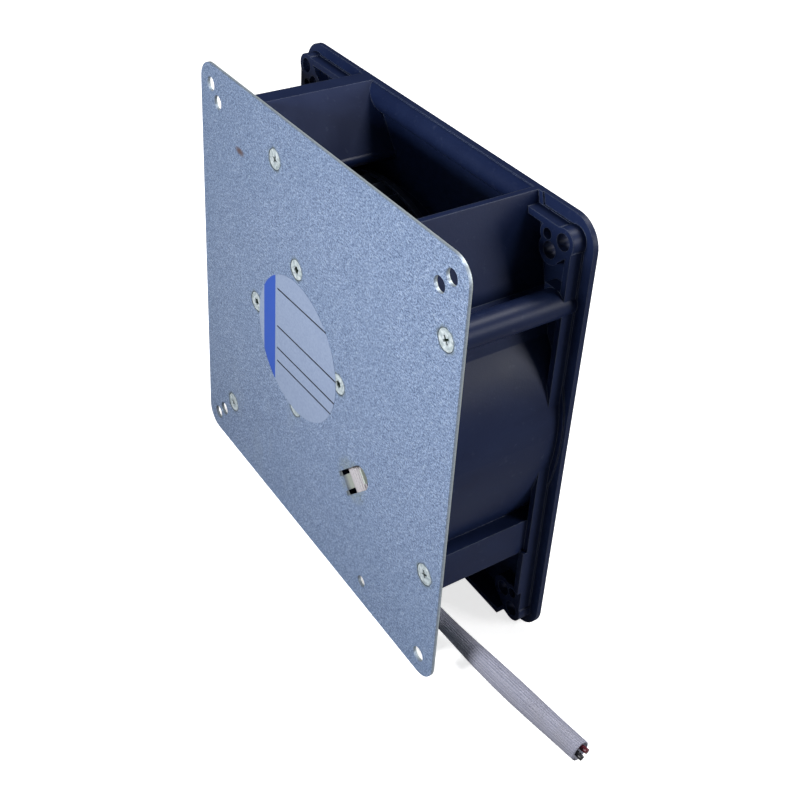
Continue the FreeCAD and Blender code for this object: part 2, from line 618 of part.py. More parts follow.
def bearing(name, low):
    bore, outer = "(shaft_wide / 2 + running)", SEAT
    high, dip = f"({low} + bearing_thick)", "shield_deep"
    ball = round_piece(name, [
        (bore, low), (f"{bore} + race", low), (f"{bore} + race", f"{low} + {dip}"),
        (f"{outer} - race", f"{low} + {dip}"), (f"{outer} - race", low), (outer, low),
        (outer, high), (f"{outer} - race", high), (f"{outer} - race", f"{high} - {dip}"),
        (f"{bore} + race", f"{high} - {dip}"), (f"{bore} + race", high), (bore, high),
    ])
    on_motor(ball)
    return ball


def motor_mount():
    flange = body("motor_flange")
    pad(flange, Outline(flange, "mount_disc", "plate_thick").circle("mflange_wide / 2"), "mflange_thick")
    bosses = Outline(flange, "mount_bosses", MFLANGE_TO)
    for k in range(4):
        turn = f"(motor_turn + 90 * {k}) * 1 deg"
        bosses.circle("mboss_wide / 2", f"motor_pcd / 2 * cos({turn})", f"motor_pcd / 2 * sin({turn})")
    pad(flange, bosses, "mboss_tall")
    pad(flange, Outline(flange, "mount_hub", MFLANGE_TO).circle("mhub_wide / 2"), "mhub_tall")
    bore = Outline(flange, "tube_seat", "plate_thick").circle("tube_wide / 2")
    cut(flange, bore, "mflange_thick + mhub_tall")
    holes, cones = (Outline(flange, n, "plate_thick") for n in ("motor_holes", "motor_seats"))
    for k in range(4):
        turn = f"(motor_turn + 90 * {k}) * 1 deg"
        spot = (f"motor_pcd / 2 * cos({turn})", f"motor_pcd / 2 * sin({turn})")
        holes.circle("motor_bore / 2", *spot)
        cones.circle("head_wide / 2 + cone_clear - plate_thick", *spot)
    cut(flange, holes, "mflange_thick + mboss_tall")
    cut(flange, cones, "head_deep - plate_thick", CONE_TAPER)
    on_motor(flange)
    neck, front, rear = f"({SEAT} - neck_step)", "(front_bearing_at + bearing_thick)", "rear_bearing_at"
    tube = round_piece("bearing_tube", [
        (SEAT, "tube_from"), ("tube_wide / 2", "tube_from"), ("tube_wide / 2", "tube_to"),
        (SEAT, "tube_to"), (SEAT, rear), (neck, rear), (neck, front), (SEAT, front),
    ])
    on_motor(tube)
    low = "(rear_bearing_at + bearing_thick)"
    spring = round_piece("bearing_spring", tube_corners(
        "shaft_wide / 2 + running", "spring_wide / 2", f"{low}", f"{low} + spring_thick"))
    on_motor(spring)
    return [flange, tube, bearing("front_bearing", "front_bearing_at"),
            bearing("rear_bearing", "rear_bearing_at"), spring]


def stator():
    core = body("stator_core")
    ring = Outline(core, "core_ring", "core_from").circle("tube_wide / 2 + core_ring")
    pad(core, ring.circle("tube_wide / 2"), "core_thick")
    shoes = Outline(core, "core_shoes", "core_from").circle(CORE_R).circle(f"{CORE_R} - shoe")
    pad(core, shoes, "core_thick")
    teeth = Outline(core, "core_tooth", "core_from")
    teeth.box("tube_wide / 2 + core_ring / 2", "-tooth / 2", f"{CORE_R} - shoe / 2", "tooth / 2")
    around(core, pad(core, teeth, "core_thick"), teeth, "poles")
    gap = Outline(core, "shoe_gap", "core_from")
    gap.bar(f"{CORE_R} * cos(45)", f"{CORE_R} * sin(45)", "2 * shoe", "shoe_gap / 2", 45)
    around(core, cut(core, gap, "core_thick"), gap, "poles")
    on_motor(core)
    front = insulator("front_insulator", "(core_from - insulator)")
    rear = insulator("rear_insulator", CORE_TO)
    return [core, front, rear, coils()]


def insulator(name, low):
    piece = body(name)
    ring = Outline(piece, f"{name}_ring", low).circle("tube_wide / 2 + core_ring + ring_lap")
    pad(piece, ring.circle("tube_wide / 2 + coil_clear"), "insulator")
    arms = Outline(piece, f"{name}_arm", low)
    half = "(tooth / 2 + coil_gap)"
    arms.box("tube_wide / 2 + core_ring / 2", f"-{half}", f"{CORE_R} - coil_gap", half)
    around(piece, pad(piece, arms, "insulator"), arms, "poles")
    on_motor(piece)
    return piece


def coils():
    """One winding round each tooth, with a rounded outside."""
    one = body("coil_one")
    wide = "(tooth / 2 + coil_gap + coil_clear)"
    low, high = "(core_from - insulator - coil_clear)", f"({CORE_TO} + insulator + coil_clear)"
    outline = Outline(one, "coil_ring", "coil_in", plane="YZ_Plane")
    outline.box(low, f"-{wide}", high, wide)
    w = "winding"
    outline.loop([
        (low, f"-{wide} - {w}"), (high, f"-{wide} - {w}"), (f"{high} + {w} * 0.7", f"-{wide}"),
        (f"{high} + {w} * 0.7", wide), (high, f"{wide} + {w}"), (low, f"{wide} + {w}"),
        (f"{low} - {w} * 0.7", wide), (f"{low} - {w} * 0.7", f"-{wide}"),
    ])
    feature = one.newObject("PartDesign::Pad", "coil_solid")
    feature.Profile = outline.sketch
    feature.setExpression("Length", bound("coil_out - coil_in"))
    one.Tip = feature
    doc.recompute()
    solids = []
    for k in range(int(number("poles"))):
        copy = one.Shape.copy()
        copy.rotate(FreeCAD.Vector(), FreeCAD.Vector(0, 1, 0), 360 / number("poles") * k)
        solids.append(moved(copy, number("motor_x"), 0, number("motor_z")))
    return group("stator_coils", solids)


def circuit():
    board = body("circuit_board")
    disc = Outline(board, "board_disc", "board_from").circle("board_wide / 2")
    pad(board, disc.circle("board_bore / 2"), "board_thick")
    on_motor(board)
    chips, sensor, tank = body("driver_chips"), body("hall_sensor"), body("filter_capacitor")
    pair = Outline(chips, "chip_pair", "board_from - chip_tall")
    for sign in ("-", ""):
        pair.bar("chip_x", f"{sign}chip_z", "chip_side / 2", "chip_side / 2", 0)
    pad(chips, pair, "chip_tall")
    one = Outline(sensor, "sensor", BOARD_TO)
    pad(sensor, one.bar("0", "sensor_z", "sensor_wide / 2", "sensor_long / 2", 0), "sensor_tall")
    block = Outline(tank, "tank", "board_from - tank_tall")
    pad(tank, block.bar("tank_x", "tank_z", "tank_wide / 2", "tank_long / 2", 0), "tank_tall")
    for piece in (chips, sensor, tank):
        on_motor(piece)
    return [board, chips, sensor, tank]


# Cable: corners of its route, and how it is drawn
ROUTE = [
    (14.4, 4.2, -19.5), (31.0, 4.25, -36.1), (45.3, 5.6, -50.9), (57.5, 11.5, -60.3),
    (72.0, 17.8, -64.4), (89.0, 19.4, -64.4), (106.1, 20.1, -64.4),
]


def rounded_path(corners):
    """Straight runs joined by tangent arcs, each as large as its two runs allow."""
    points = [FreeCAD.Vector(*c) for c in corners]
    edges, here = [], points[0]
    for before, at, after in zip(points, points[1:], points[2:]):
        into, out = (at - before), (after - at)
        half = into.getAngle(out) / 2
        reach = 0.45 * min(into.Length, out.Length)
        print("cable bend radius", round(reach / math.tan(half), 1))
        into.normalize()
        out.normalize()
        start, end = at - into * reach, at + out * reach
        side = (out - into).normalize()
        middle = at + side * reach * (1 / math.cos(half) - 1) / math.tan(half)
        edges += [Part.LineSegment(here, start).toShape(), Part.Arc(start, middle, end).toShape()]
        here = end
    edges.append(Part.LineSegment(here, points[-1]).toShape())
    return Part.Wire(edges)


def cable():
    path = rounded_path(ROUTE)
    start, ahead = path.Edges[0].Vertexes[0].Point, path.Edges[0].tangentAt(0)
    ring = Part.Wire(Part.makeCircle(number("sleeve_wide / 2"), start, ahead))
    solid = path.makePipeShell([ring], True, True)
    section = math.pi * number("sleeve_wide / 2") ** 2
    print("cable length", round(path.Length, 1), "volume over section", round(solid.Volume / section, 1))
    sleeve = group("cable_sleeve", [solid])
    return [sleeve] + leads()


def leads():
    """Each lead shows between the board and the sleeve, and again at the sleeve's open end."""
    start, after = FreeCAD.Vector(*ROUTE[0]), FreeCAD.Vector(*ROUTE[1])
    last, before = FreeCAD.Vector(*ROUTE[-1]), FreeCAD.Vector(*ROUTE[-2])
    radius = number("lead_wide / 2")
    made = []
    for name, side in (("lead_red", 1), ("lead_black", -1)):
        shift = number("lead_apart / 2") * side
        ahead = (after - start).normalize()
        across = ahead.cross(FreeCAD.Vector(0, 1, 0)).normalize() * shift
        inside = Part.makeCylinder(radius, number("lead_inside"), start + across, ahead * -1)
        out = (last - before).normalize()
        aside = out.cross(FreeCAD.Vector(0, 0, 1)).normalize() * -shift
        rise = FreeCAD.Vector(0, 0, shift * 0.6)
        outside = Part.makeCylinder(radius, number("lead_show"), last + aside + rise, out)
        made.append(group(name, [inside, outside]))
    return made


pieces = [
    base_plate(), housing(), label(),
    screws("housing_screws", POSTS, "screw_long", "screw_shank"),
    screws("motor_screws", motor_places(), "motor_screw_long", "motor_shank"),
    impeller(), *rotor_pieces(), *motor_mount(), *stator(), *circuit(), *cable(),
]
doc.recompute()
for item in doc.Objects:
    if {"Invalid", "Error"} & set(item.State):
        raise RuntimeError(f"{item.Name} is {item.State}")
for piece in pieces:
    if piece.Shape.isNull() or not piece.Shape.isValid():
        raise RuntimeError(f"{piece.Label} has no valid shape")
    piece.Shape.exportStep(f"parts/{piece.Label}.step")
    print(piece.Label, len(piece.Shape.Solids), round(piece.Shape.Volume, 1))
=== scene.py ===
import json
import math

import bmesh
import bpy
from mathutils import Matrix, Vector

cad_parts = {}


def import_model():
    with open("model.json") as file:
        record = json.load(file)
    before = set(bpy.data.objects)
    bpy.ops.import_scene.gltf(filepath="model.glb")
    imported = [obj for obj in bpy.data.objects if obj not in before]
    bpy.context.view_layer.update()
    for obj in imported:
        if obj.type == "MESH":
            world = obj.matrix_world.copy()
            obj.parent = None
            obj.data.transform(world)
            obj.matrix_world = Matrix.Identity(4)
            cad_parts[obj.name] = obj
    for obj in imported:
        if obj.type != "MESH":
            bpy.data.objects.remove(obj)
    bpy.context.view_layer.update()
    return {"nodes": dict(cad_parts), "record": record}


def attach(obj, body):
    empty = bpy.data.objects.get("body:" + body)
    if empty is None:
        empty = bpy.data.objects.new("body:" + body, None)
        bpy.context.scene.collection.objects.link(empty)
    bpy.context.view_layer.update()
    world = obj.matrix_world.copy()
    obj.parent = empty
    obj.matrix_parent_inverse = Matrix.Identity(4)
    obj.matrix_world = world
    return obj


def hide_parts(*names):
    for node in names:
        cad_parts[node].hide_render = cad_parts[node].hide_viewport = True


# Compact centrifugal blower: a square galvanised plate in front of a moulded scroll housing.
# Places are given in millimetres from the middle of the plate's front face, as in the part's
# source, and at() turns them into the frame's metres.

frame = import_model()

MM = 0.001
PLATE_FRONT = -0.019
PLATE_MIDDLE = 0.0675


def at(x, y, z):
    return Vector((x * MM, y * MM + PLATE_FRONT, z * MM + PLATE_MIDDLE))


def on_plate(spot):
    return at(spot[0], 0, spot[1])


# Places and sizes that the part's source also has. The cable's route alone differs a little.
MOTOR = (-8.8, 0.8)
MOTOR_PCD = 48.0
MOTOR_TURN = math.radians(0.4)
HOUSING_SCREWS = [(-21.8, 53.6), (60.8, 43.7), (-49.7, -49.2), (60.6, -31.3)]
MOTOR_SCREWS = [
    (MOTOR[0] + MOTOR_PCD / 2 * math.cos(MOTOR_TURN + k * math.pi / 2),
     MOTOR[1] + MOTOR_PCD / 2 * math.sin(MOTOR_TURN + k * math.pi / 2)) for k in range(4)]
HEAD_RADIUS, SHANK_RADIUS = 3.05, 1.45
HOUSING_SCREW_LONG, MOTOR_SCREW_LONG = 13.0, 4.8
SLOT = (24.0, -27.0)
SLOT_REACH = 5.5
SLEEVE_RADIUS, LEAD_RADIUS = 3.0, 0.75
CABLE = [
    (14.4, 4.2, -19.5), (31.0, 4.25, -36.1), (44.3, 5.2, -50.2), (52.6, 13.6, -62.6),
    (66.0, 15.6, -64.4), (88.0, 17.9, -64.4), (106.1, 20.3, -64.4),
]

# Places on the plate and the label, right and up from the plate's middle
BROWN_SPOT = (-42.8, 46.8)
SMEAR = (-30.0, -45.0)
LABEL_BAND = (-27.7, -20.8)
LABEL_RULES = (12.8, -0.3, -8.1, -12.8)
RULE_HALF, RULES_FROM, RULE_SLOPE = 0.28, -19.6, 0.031

# Sleeve: its wall, the points round it, and where it bulges and slackens along its run
SLEEVE_WALL, SLEEVE_SIDES, SLEEVE_STEP, SLEEVE_RIBS = 0.55, 132, 0.4, 26
BULGE_AT, BULGE_LONG, BULGE = 0.088, 0.014, 0.3
WAIST_AT, WAIST_LONG, WAIST = 0.058, 0.013, 0.55

# Leads: how far they stick out of the sleeve and start inside it, and their places across it
LEAD_SHOW, LEAD_INSIDE, LEAD_ASIDE, LEAD_RISE = 1.5, 5.0, 0.85, 0.55


def link(obj):
    bpy.context.scene.collection.objects.link(obj)
    return obj


def mesh_object(name, bm):
    mesh = bpy.data.meshes.new(name)
    bm.to_mesh(mesh)
    bm.free()
    mesh.shade_smooth()
    return link(bpy.data.objects.new(name, mesh))


# Camera

def look(position, target, roll, lens, shift):
    data = bpy.data.cameras.new("camera")
    data.sensor_fit = "HORIZONTAL"
    data.sensor_width = 36
    data.lens = lens
    data.shift_x, data.shift_y = shift
    ahead = (target - position).normalized()
    level = ahead.cross(Vector((0, 0, 1))).normalized()
    right = level * math.cos(roll) + level.cross(ahead) * math.sin(roll)
    up = right.cross(ahead)
    camera = link(bpy.data.objects.new("camera", data))
    turn = Matrix((right, up, -ahead)).transposed().to_4x4()
    camera.matrix_world = Matrix.Translation(position) @ turn
    bpy.context.scene.camera = camera


look(position=Vector((0.24335, -0.16342, 0.27218)), target=Vector((-0.00949, 0.01055, 0.09085)),
     roll=math.radians(3.21), lens=54.91, shift=(0.02047, -0.18988))


# Materials

def srgb(red, green, blue):
    """A colour as a screen shows it, 0 to 255, in the linear values that the shader takes."""
    shades = [c / 255 for c in (red, green, blue)]
    return (*[c / 12.92 if c <= 0.04045 else ((c + 0.055) / 1.055) ** 2.4 for c in shades], 1)


class Finish:
    """A procedural material, drawn in the object's own metres."""

    def __init__(self, name, colour, roughness, metallic=0.0, specular=0.5):
        self.material = bpy.data.materials.new(name)
        self.material.use_nodes = True
        self.tree = self.material.node_tree
        self.shader = self.tree.nodes["Principled BSDF"]
        self.place = self.node("ShaderNodeTexCoord").outputs["Object"]
        self.shader.inputs["Base Color"].default_value = colour
        self.shader.inputs["Roughness"].default_value = roughness
        self.shader.inputs["Metallic"].default_value = metallic
        self.shader.inputs["Specular IOR Level"].default_value = specular
        self.material.diffuse_color = colour

    def node(self, kind, inputs=None, **settings):
        made = self.tree.nodes.new(kind)
        for name, value in settings.items():
            setattr(made, name, value)
        for name, value in (inputs or {}).items():
            if isinstance(value, bpy.types.NodeSocket):
                self.tree.links.new(value, made.inputs[name])
            else:
                made.inputs[name].default_value = value
        return made

    def scaled(self, stretch, turn=(0, 0, 0), place=None):
        """Coordinates scaled and turned, for a grain that runs one way."""
        inputs = {"Vector": place or self.place, "Scale": stretch, "Rotation": turn}
        return self.node("ShaderNodeMapping", inputs).outputs["Vector"]

    def noise(self, scale, detail=3.0, place=None, rough=0.55, warp=0.0):
        inputs = {"Vector": place or self.place, "Scale": scale, "Detail": detail,
                  "Roughness": rough, "Distortion": warp}
        return self.node("ShaderNodeTexNoise", inputs).outputs["Fac"]

    def cells(self, scale, place=None):
        """One random grey for each cell of a crystal-like pattern."""
        inputs = {"Vector": place or self.place, "Scale": scale}
        colour = self.node("ShaderNodeTexVoronoi", inputs).outputs["Color"]
        return self.node("ShaderNodeSeparateColor", {"Color": colour}).outputs["Red"]

    def remap(self, value, low, high, to_low=0.0, to_high=1.0):
        inputs = {"Value": value, "From Min": low, "From Max": high,
                  "To Min": to_low, "To Max": to_high}
        return self.node("ShaderNodeMapRange", inputs).outputs["Result"]

    def maths(self, operation, a, b=0.0):
        made = self.node("ShaderNodeMath", {0: a, 1: b}, operation=operation)
        return made.outputs[0]

    def mix(self, factor, a, b):
        made = self.node("ShaderNodeMix", data_type="RGBA")
        for socket, value in zip((made.inputs[0], made.inputs[6], made.inputs[7]), (factor, a, b)):
            if isinstance(value, bpy.types.NodeSocket):
                self.tree.links.new(value, socket)
            else:
                socket.default_value = value
        return made.outputs[2]

    def axes(self):
        """Millimetres right of and above the plate's middle, and behind its front face."""
        split = self.node("ShaderNodeSeparateXYZ", {"Vector": self.place})
        right = self.maths("DIVIDE", split.outputs["X"], MM)
        behind = self.maths("DIVIDE", self.maths("SUBTRACT", split.outputs["Y"], PLATE_FRONT), MM)
        above = self.maths("DIVIDE", self.maths("SUBTRACT", split.outputs["Z"], PLATE_MIDDLE), MM)
        return right, behind, above

    def near(self, points, reach, fade, squeeze=(1, 1, 1)):
        """1 within reach of any of the points and 0 beyond reach + fade, in millimetres."""
        place = self.scaled(squeeze) if squeeze != (1, 1, 1) else self.place
        nearest = None
        for point in points:
            spot = Vector(a * b for a, b in zip(point, squeeze))
            made = self.node("ShaderNodeVectorMath", {0: place, 1: spot}, operation="DISTANCE")
            far = made.outputs["Value"]
            nearest = far if nearest is None else self.maths("MINIMUM", nearest, far)
        return self.remap(nearest, (reach + fade) * MM, reach * MM)

    def colour(self, socket):
        self.tree.links.new(socket, self.shader.inputs["Base Color"])
        return self

    def roughness(self, socket):
        self.tree.links.new(socket, self.shader.inputs["Roughness"])
        return self

    def bump(self, height, deep, edge=0.0):
        """Relief of that depth in millimetres, over edges rounded by that radius in millimetres."""
        made = self.node("ShaderNodeBump", {"Height": height, "Distance": deep * MM, "Strength": 1.0})
        if edge:
            bevel = self.node("ShaderNodeBevel", {"Radius": edge * MM}, samples=6)
            self.tree.links.new(bevel.outputs["Normal"], made.inputs["Normal"])
        self.tree.links.new(made.outputs["Normal"], self.shader.inputs["Normal"])
        return self


def galvanised():
    """Zinc-coated sheet: a close speckle, a faint diagonal grain, stained rings and handling marks, with
    a painted shade in the gap round the screw heads and a painted light on the lug that curls behind the
    plate.
    """
    sheet = Finish("galvanised", srgb(128, 149, 184), 0.46, metallic=0.4, specular=0.4)
    diagonal = (0, math.radians(38), 0)
    speckle = sheet.noise(2100, 3.0, rough=0.8)
    fleck = sheet.noise(1.0, 2.0, sheet.scaled((1000, 2200, 2000), diagonal), rough=0.65)
    crystals = sheet.cells(1300, sheet.scaled((1, 1, 0.55), diagonal))
    clouds = sheet.noise(26, 4.0, warp=0.6)
    tone = sheet.mix(sheet.remap(speckle, 0.41, 0.59), srgb(74, 94, 130), srgb(166, 186, 219))
    tone = sheet.mix(sheet.remap(crystals, 0.0, 1.0, 0.0, 0.3), tone, srgb(104, 124, 156))
    tone = sheet.mix(sheet.remap(fleck, 0.56, 0.66, 0.0, 0.75), tone, srgb(62, 80, 112))
    tone = sheet.mix(sheet.remap(fleck, 0.42, 0.32, 0.0, 0.6), tone, srgb(186, 201, 222))
    tone = sheet.mix(sheet.remap(clouds, 0.35, 0.7, 0.0, 0.3), tone, srgb(104, 124, 152))
    smear = sheet.noise(90, 3.0, sheet.scaled((1, 1, 0.35), (0, math.radians(-25), 0)))
    round_smear = sheet.near([on_plate(SMEAR)], 10, 30)
    smear = sheet.maths("MULTIPLY", sheet.remap(smear, 0.56, 0.72), round_smear)
    tone = sheet.mix(sheet.maths("MULTIPLY", smear, 0.35), tone, srgb(150, 164, 180))
    heads = [on_plate(spot) for spot in HOUSING_SCREWS + MOTOR_SCREWS]
    blot = sheet.remap(sheet.noise(700, 3.0), 0.34, 0.6)
    stain = sheet.maths("MULTIPLY", sheet.near(heads, HEAD_RADIUS + 0.1, 1.1), blot)
    tone = sheet.mix(sheet.maths("MULTIPLY", stain, 0.75), tone, srgb(98, 110, 104))
    # Painted shade: a dark ring in the gap round each screw head.
    head_gap_painted_shade = sheet.near(heads, HEAD_RADIUS + 0.04, 0.34)
    tone = sheet.mix(sheet.maths("MULTIPLY", head_gap_painted_shade, 0.85), tone, srgb(26, 34, 36))
    lip = sheet.maths("MULTIPLY", sheet.near([on_plate(SLOT)], SLOT_REACH, 2.5), blot)
    tone = sheet.mix(sheet.maths("MULTIPLY", lip, 0.4), tone, srgb(126, 134, 108))
    mark = sheet.near([on_plate(BROWN_SPOT)], 0.5, 1.0, squeeze=(0.45, 1, 1))
    tone = sheet.mix(sheet.maths("MULTIPLY", mark, 0.85), tone, srgb(92, 66, 54))
    turned = sheet.node("ShaderNodeTexCoord").outputs["Normal"]
    facing = sheet.node("ShaderNodeSeparateXYZ", {"Vector": turned}).outputs["Y"]
    cut_edge = sheet.remap(sheet.maths("ABSOLUTE", facing), 0.7, 0.3)
    tone = sheet.mix(sheet.maths("MULTIPLY", cut_edge, 0.6), tone, srgb(150, 160, 168))
    _, behind, _ = sheet.axes()
    # Painted light: the lug that curls behind the plate is lightened where it lies in shade.
    curled_lug_painted_light = sheet.remap(behind, 0.4, 1.4)
    tone = sheet.mix(sheet.maths("MULTIPLY", curled_lug_painted_light, 0.9), tone, srgb(206, 214, 204))
    sheet.colour(tone)
    sheet.roughness(sheet.remap(clouds, 0.3, 0.7, 0.4, 0.54))
    height = sheet.maths("ADD", speckle, sheet.maths("MULTIPLY", fleck, 0.6))
    return sheet.bump(height, 0.02, edge=0.12).material


def moulded(name, low, high, roughness, specular, edge):
    """Glass-filled plastic: a satin skin, faintly uneven, with a little dust and a painted highlight
    along the edges.
    """
    skin = Finish(name, low, roughness, specular=specular)
    flow = skin.noise(1.0, 4.0, skin.scaled((45, 45, 70)), warp=0.8)
    fine = skin.noise(1800, 2.0)
    dust = skin.noise(420, 5.0, rough=0.7)
    tone = skin.mix(skin.remap(flow, 0.3, 0.7), low, high)
    tone = skin.mix(skin.remap(dust, 0.6, 0.78, 0.0, 0.12), tone, srgb(108, 118, 140))
    # Painted highlight: a paler tone along edges, where the rounded bevel normal turns away from the flat
    # normal.
    wear_and_edge_highlight = skin.node("ShaderNodeBevel", {"Radius": 0.3 * MM}, samples=4).outputs["Normal"]
    flat = skin.node("ShaderNodeNewGeometry").outputs["Normal"]
    alike = skin.node("ShaderNodeVectorMath", {0: wear_and_edge_highlight, 1: flat}, operation="DOT_PRODUCT")
    tone = skin.mix(skin.remap(alike.outputs["Value"], 0.97, 0.8, 0.0, 0.4), tone, srgb(116, 126, 142))
    skin.colour(tone)
    skin.roughness(skin.remap(flow, 0.3, 0.7, roughness - 0.04, roughness + 0.05))
    return skin.bump(fine, 0.02, edge).material


def darker(colour, share):
    return (*[c * (1 - share) for c in colour[:3]], 1)


def metal(name, colour, roughness, grain=(300, 300, 300), deep=0.004):
    """Bare metal with machining grain and a little tarnish."""
    bare = Finish(name, colour, roughness, metallic=1.0)
    lines = bare.noise(1.0, 3.0, bare.scaled(grain))
    dull = bare.noise(160, 4.0)
    bare.colour(bare.mix(bare.remap(dull, 0.35, 0.7), colour, darker(colour, 0.18)))
    bare.roughness(bare.remap(lines, 0.3, 0.7, roughness - 0.05, roughness + 0.1))
    return bare.bump(lines, deep, edge=0.08).material


def plain(name, colour, roughness):
    """Moulded or painted stuff with an uneven tone and a fine skin."""
    stuff = Finish(name, colour, roughness, specular=0.4)
    patch = stuff.noise(150, 4.0)
    fine = stuff.noise(1800, 2.0)
    stuff.colour(stuff.mix(stuff.remap(patch, 0.35, 0.65), colour, darker(colour, 0.15)))
    stuff.roughness(stuff.remap(patch, 0.3, 0.7, roughness - 0.06, roughness + 0.06))
    return stuff.bump(fine, 0.01, edge=0.08).material


def paper():
    """Printed film: a pale ground, one plain band near the left and a few ruled lines."""
    film = Finish("label_paper", srgb(150, 166, 194), 0.45, specular=0.3)
    right, _, above = film.axes()
    lean = film.maths("MULTIPLY", film.maths("SUBTRACT", right, RULES_FROM), RULE_SLOPE)
    above = film.maths("SUBTRACT", above, lean)
    fibre = film.noise(1500, 3.0)
    ground = film.mix(film.remap(fibre, 0.3, 0.7), srgb(119, 133, 160), srgb(131, 145, 170))
    band = film.maths("MULTIPLY", film.maths("GREATER_THAN", right, LABEL_BAND[0]),
                      film.maths("LESS_THAN", right, LABEL_BAND[1]))
    ground = film.mix(band, ground, srgb(38, 74, 160))
    inside = film.maths("GREATER_THAN", right, RULES_FROM)
    for line in LABEL_RULES:
        off = film.maths("ABSOLUTE", film.maths("SUBTRACT", above, line))
        rule = film.maths("MULTIPLY", film.maths("LESS_THAN", off, RULE_HALF), inside)
        ground = film.mix(rule, ground, srgb(20, 24, 42))
    film.colour(ground)
    return film.bump(fibre, 0.003).material


def woven():
    """Glass-fibre sleeve: fine lengthwise strands, tied across, cleaner inside the housing."""
    cloth = Finish("sleeve", srgb(176, 175, 192), 0.5, specular=0.4)
    uv = cloth.node("ShaderNodeTexCoord").outputs["UV"]
    split = cloth.node("ShaderNodeSeparateXYZ", {"Vector": uv})
    around, along = split.outputs["X"], split.outputs["Y"]
    waves = []
    for sign in (1, -1):
        slope = cloth.maths("ADD", cloth.maths("MULTIPLY", around, 34),
                            cloth.maths("MULTIPLY", along, 900 * sign))
        waves.append(cloth.maths("SINE", cloth.maths("MULTIPLY", slope, 2 * math.pi)))
    strands = cloth.maths("MAXIMUM", *waves)
    ribs = cloth.maths("SINE", cloth.maths("MULTIPLY", around, 2 * math.pi * SLEEVE_RIBS))
    warp = cloth.noise(1.0, 3.0, cloth.scaled((60, 90, 1), place=uv))
    dirt = cloth.noise(130, 4.0)
    tone = cloth.mix(cloth.remap(ribs, -1.0, 1.0), srgb(116, 120, 138), srgb(141, 143, 163))
    tone = cloth.mix(cloth.remap(strands, -0.2, 1.0, 0.35, 0.0), tone, srgb(124, 123, 136))
    tone = cloth.mix(cloth.remap(warp, 0.35, 0.7, 0.0, 0.35), tone, srgb(184, 183, 195))
    tone = cloth.mix(cloth.remap(dirt, 0.5, 0.75, 0.0, 0.35), tone, srgb(136, 134, 140))
    right, _, _ = cloth.axes()
    # Painted shade on the sleeve by the plate's edge, fading out further right.
    tone = cloth.mix(cloth.remap(right, 50.0, 72.0, 0.1, 0.0), tone, srgb(112, 114, 124))
    inside = cloth.remap(right, 38.0, 44.0, 1.0, 0.0)
    tone = cloth.mix(cloth.maths("MULTIPLY", inside, 0.9), tone, srgb(176, 172, 176))
    cloth.colour(tone)
    height = cloth.maths("ADD", cloth.maths("MULTIPLY", strands, 0.6), ribs)
    height = cloth.maths("ADD", height, cloth.maths("MULTIPLY", warp, 1.5))
    return cloth.bump(height, 0.07).material


def screw_zinc():
    """Bright zinc, dull in patches, with a painted shade, dark green, down in the driver's recess."""
    bare = Finish("zinc_screw", srgb(196, 204, 206), 0.4, metallic=0.25)
    _, behind, _ = bare.axes()
    wear_and_edge_highlight, grain = bare.noise(900, 3.0), bare.noise(2600, 2.0)
    tone = bare.mix(bare.remap(wear_and_edge_highlight, 0.35, 0.65), srgb(202, 212, 216), srgb(138, 152, 158))
    # Painted shade: dark green deeper than the head's face, in the driver's recess.
    tone = bare.mix(bare.remap(behind, 0.12, 0.5), tone, srgb(38, 54, 46))
    bare.colour(tone)
    bare.roughness(bare.remap(wear_and_edge_highlight, 0.3, 0.7, 0.28, 0.46))
    return bare.bump(grain, 0.012, 0.06).material


MATERIALS = {
    "galvanised": galvanised(),
    "housing_plastic": moulded("housing_plastic", srgb(19, 29, 59), srgb(25, 36, 67), 0.42, 0.13, 0.35),
    "wheel_plastic": moulded("wheel_plastic", srgb(20, 26, 44), srgb(27, 34, 54), 0.38, 0.45, 0.12),
    "label_paper": paper(),
    "zinc_screw": screw_zinc(),
    "ground_steel": metal("ground_steel", srgb(200, 202, 206), 0.2, (200, 4000, 200)),
    "spring_steel": metal("spring_steel", srgb(120, 126, 138), 0.32),
    "turned_brass": metal("turned_brass", srgb(206, 176, 112), 0.3, (200, 3500, 200)),
    "pressed_steel": metal("pressed_steel", srgb(176, 182, 190), 0.34, (260, 1400, 260)),
    "magnet": plain("magnet", srgb(70, 70, 74), 0.6),
    "die_cast": metal("die_cast", srgb(178, 182, 188), 0.46, (1200, 1200, 1200), deep=0.012),
    "bearing_steel": metal("bearing_steel", srgb(206, 208, 212), 0.18, (200, 5000, 200)),
    "lamination": metal("lamination", srgb(118, 120, 126), 0.5, (60, 6000, 60), deep=0.02),
    "insulator_plastic": plain("insulator_plastic", srgb(226, 222, 206), 0.5),
    "enamel_wire": metal("enamel_wire", srgb(176, 96, 50), 0.28, (400, 5200, 5200), deep=0.05),
    "board": plain("board", srgb(42, 98, 62), 0.4),
    "chip": plain("chip", srgb(40, 40, 42), 0.5),
    "capacitor": plain("capacitor", srgb(196, 148, 70), 0.42),
    "sleeve": woven(),
    "red_lead": plain("red_lead", srgb(84, 16, 34), 0.42),
    "black_lead": plain("black_lead", srgb(20, 20, 26), 0.42),
}

NODE_SLOTS = {part["node"]: part["material_slot"] for part in frame["record"]["subparts"]}
for node, obj in frame["nodes"].items():
    for place in obj.material_slots:
        place.material = MATERIALS[NODE_SLOTS[node]]


def dress(obj, slot, body, *nodes):
    """Gives a new piece its material, its body and the CAD nodes that it stands for."""
    obj.data.materials.append(MATERIALS[slot])
    if nodes:
        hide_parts(*nodes)
    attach(obj, body)
    return obj


# Cable

